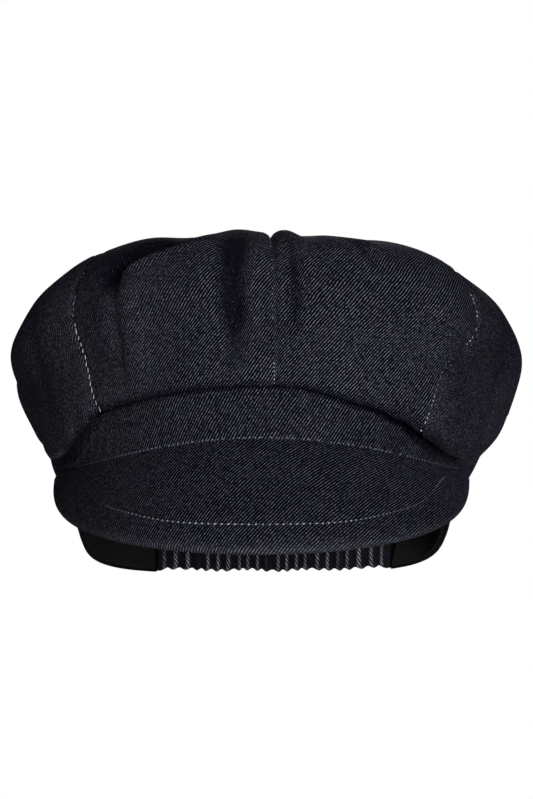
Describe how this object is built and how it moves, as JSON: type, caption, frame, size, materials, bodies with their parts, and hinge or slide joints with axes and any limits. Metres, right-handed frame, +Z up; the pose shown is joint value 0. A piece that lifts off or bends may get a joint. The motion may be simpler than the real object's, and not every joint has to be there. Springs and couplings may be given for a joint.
{
  "type": "eight-panel work cap",
  "caption": "Full denim work cap: panelled balloon crown on a band, a steep stitched peak in front and a gathered elastic back, open for a head.",
  "frame": {"origin": "middle of the head opening, in the plane of the rim", "axes": "+Z up out of the opening through the crown, -Y towards the front where the peak is, +X towards the wearer's left"},
  "size_m": [0.2079, 0.2378, 0.1618],
  "materials": {
    "crown_denim": "dark indigo twill, matt",
    "band_denim": "dark indigo twill, matt",
    "peak_denim": "dark indigo twill, matt, pressed flat",
    "black_tape": "black ribbed tape"
  },
  "bodies": {
    "root": {"crown_panel_1": "crown_denim", "crown_panel_2": "crown_denim", "crown_panel_3": "crown_denim", "crown_panel_4": "crown_denim", "crown_panel_5": "crown_denim", "crown_panel_6": "crown_denim", "crown_panel_7": "crown_denim", "crown_panel_8": "crown_denim", "band": "band_denim", "front_strip": "band_denim", "peak": "peak_denim", "elastic_casing": "band_denim", "sweatband": "black_tape"}
  },
  "joints": []
}
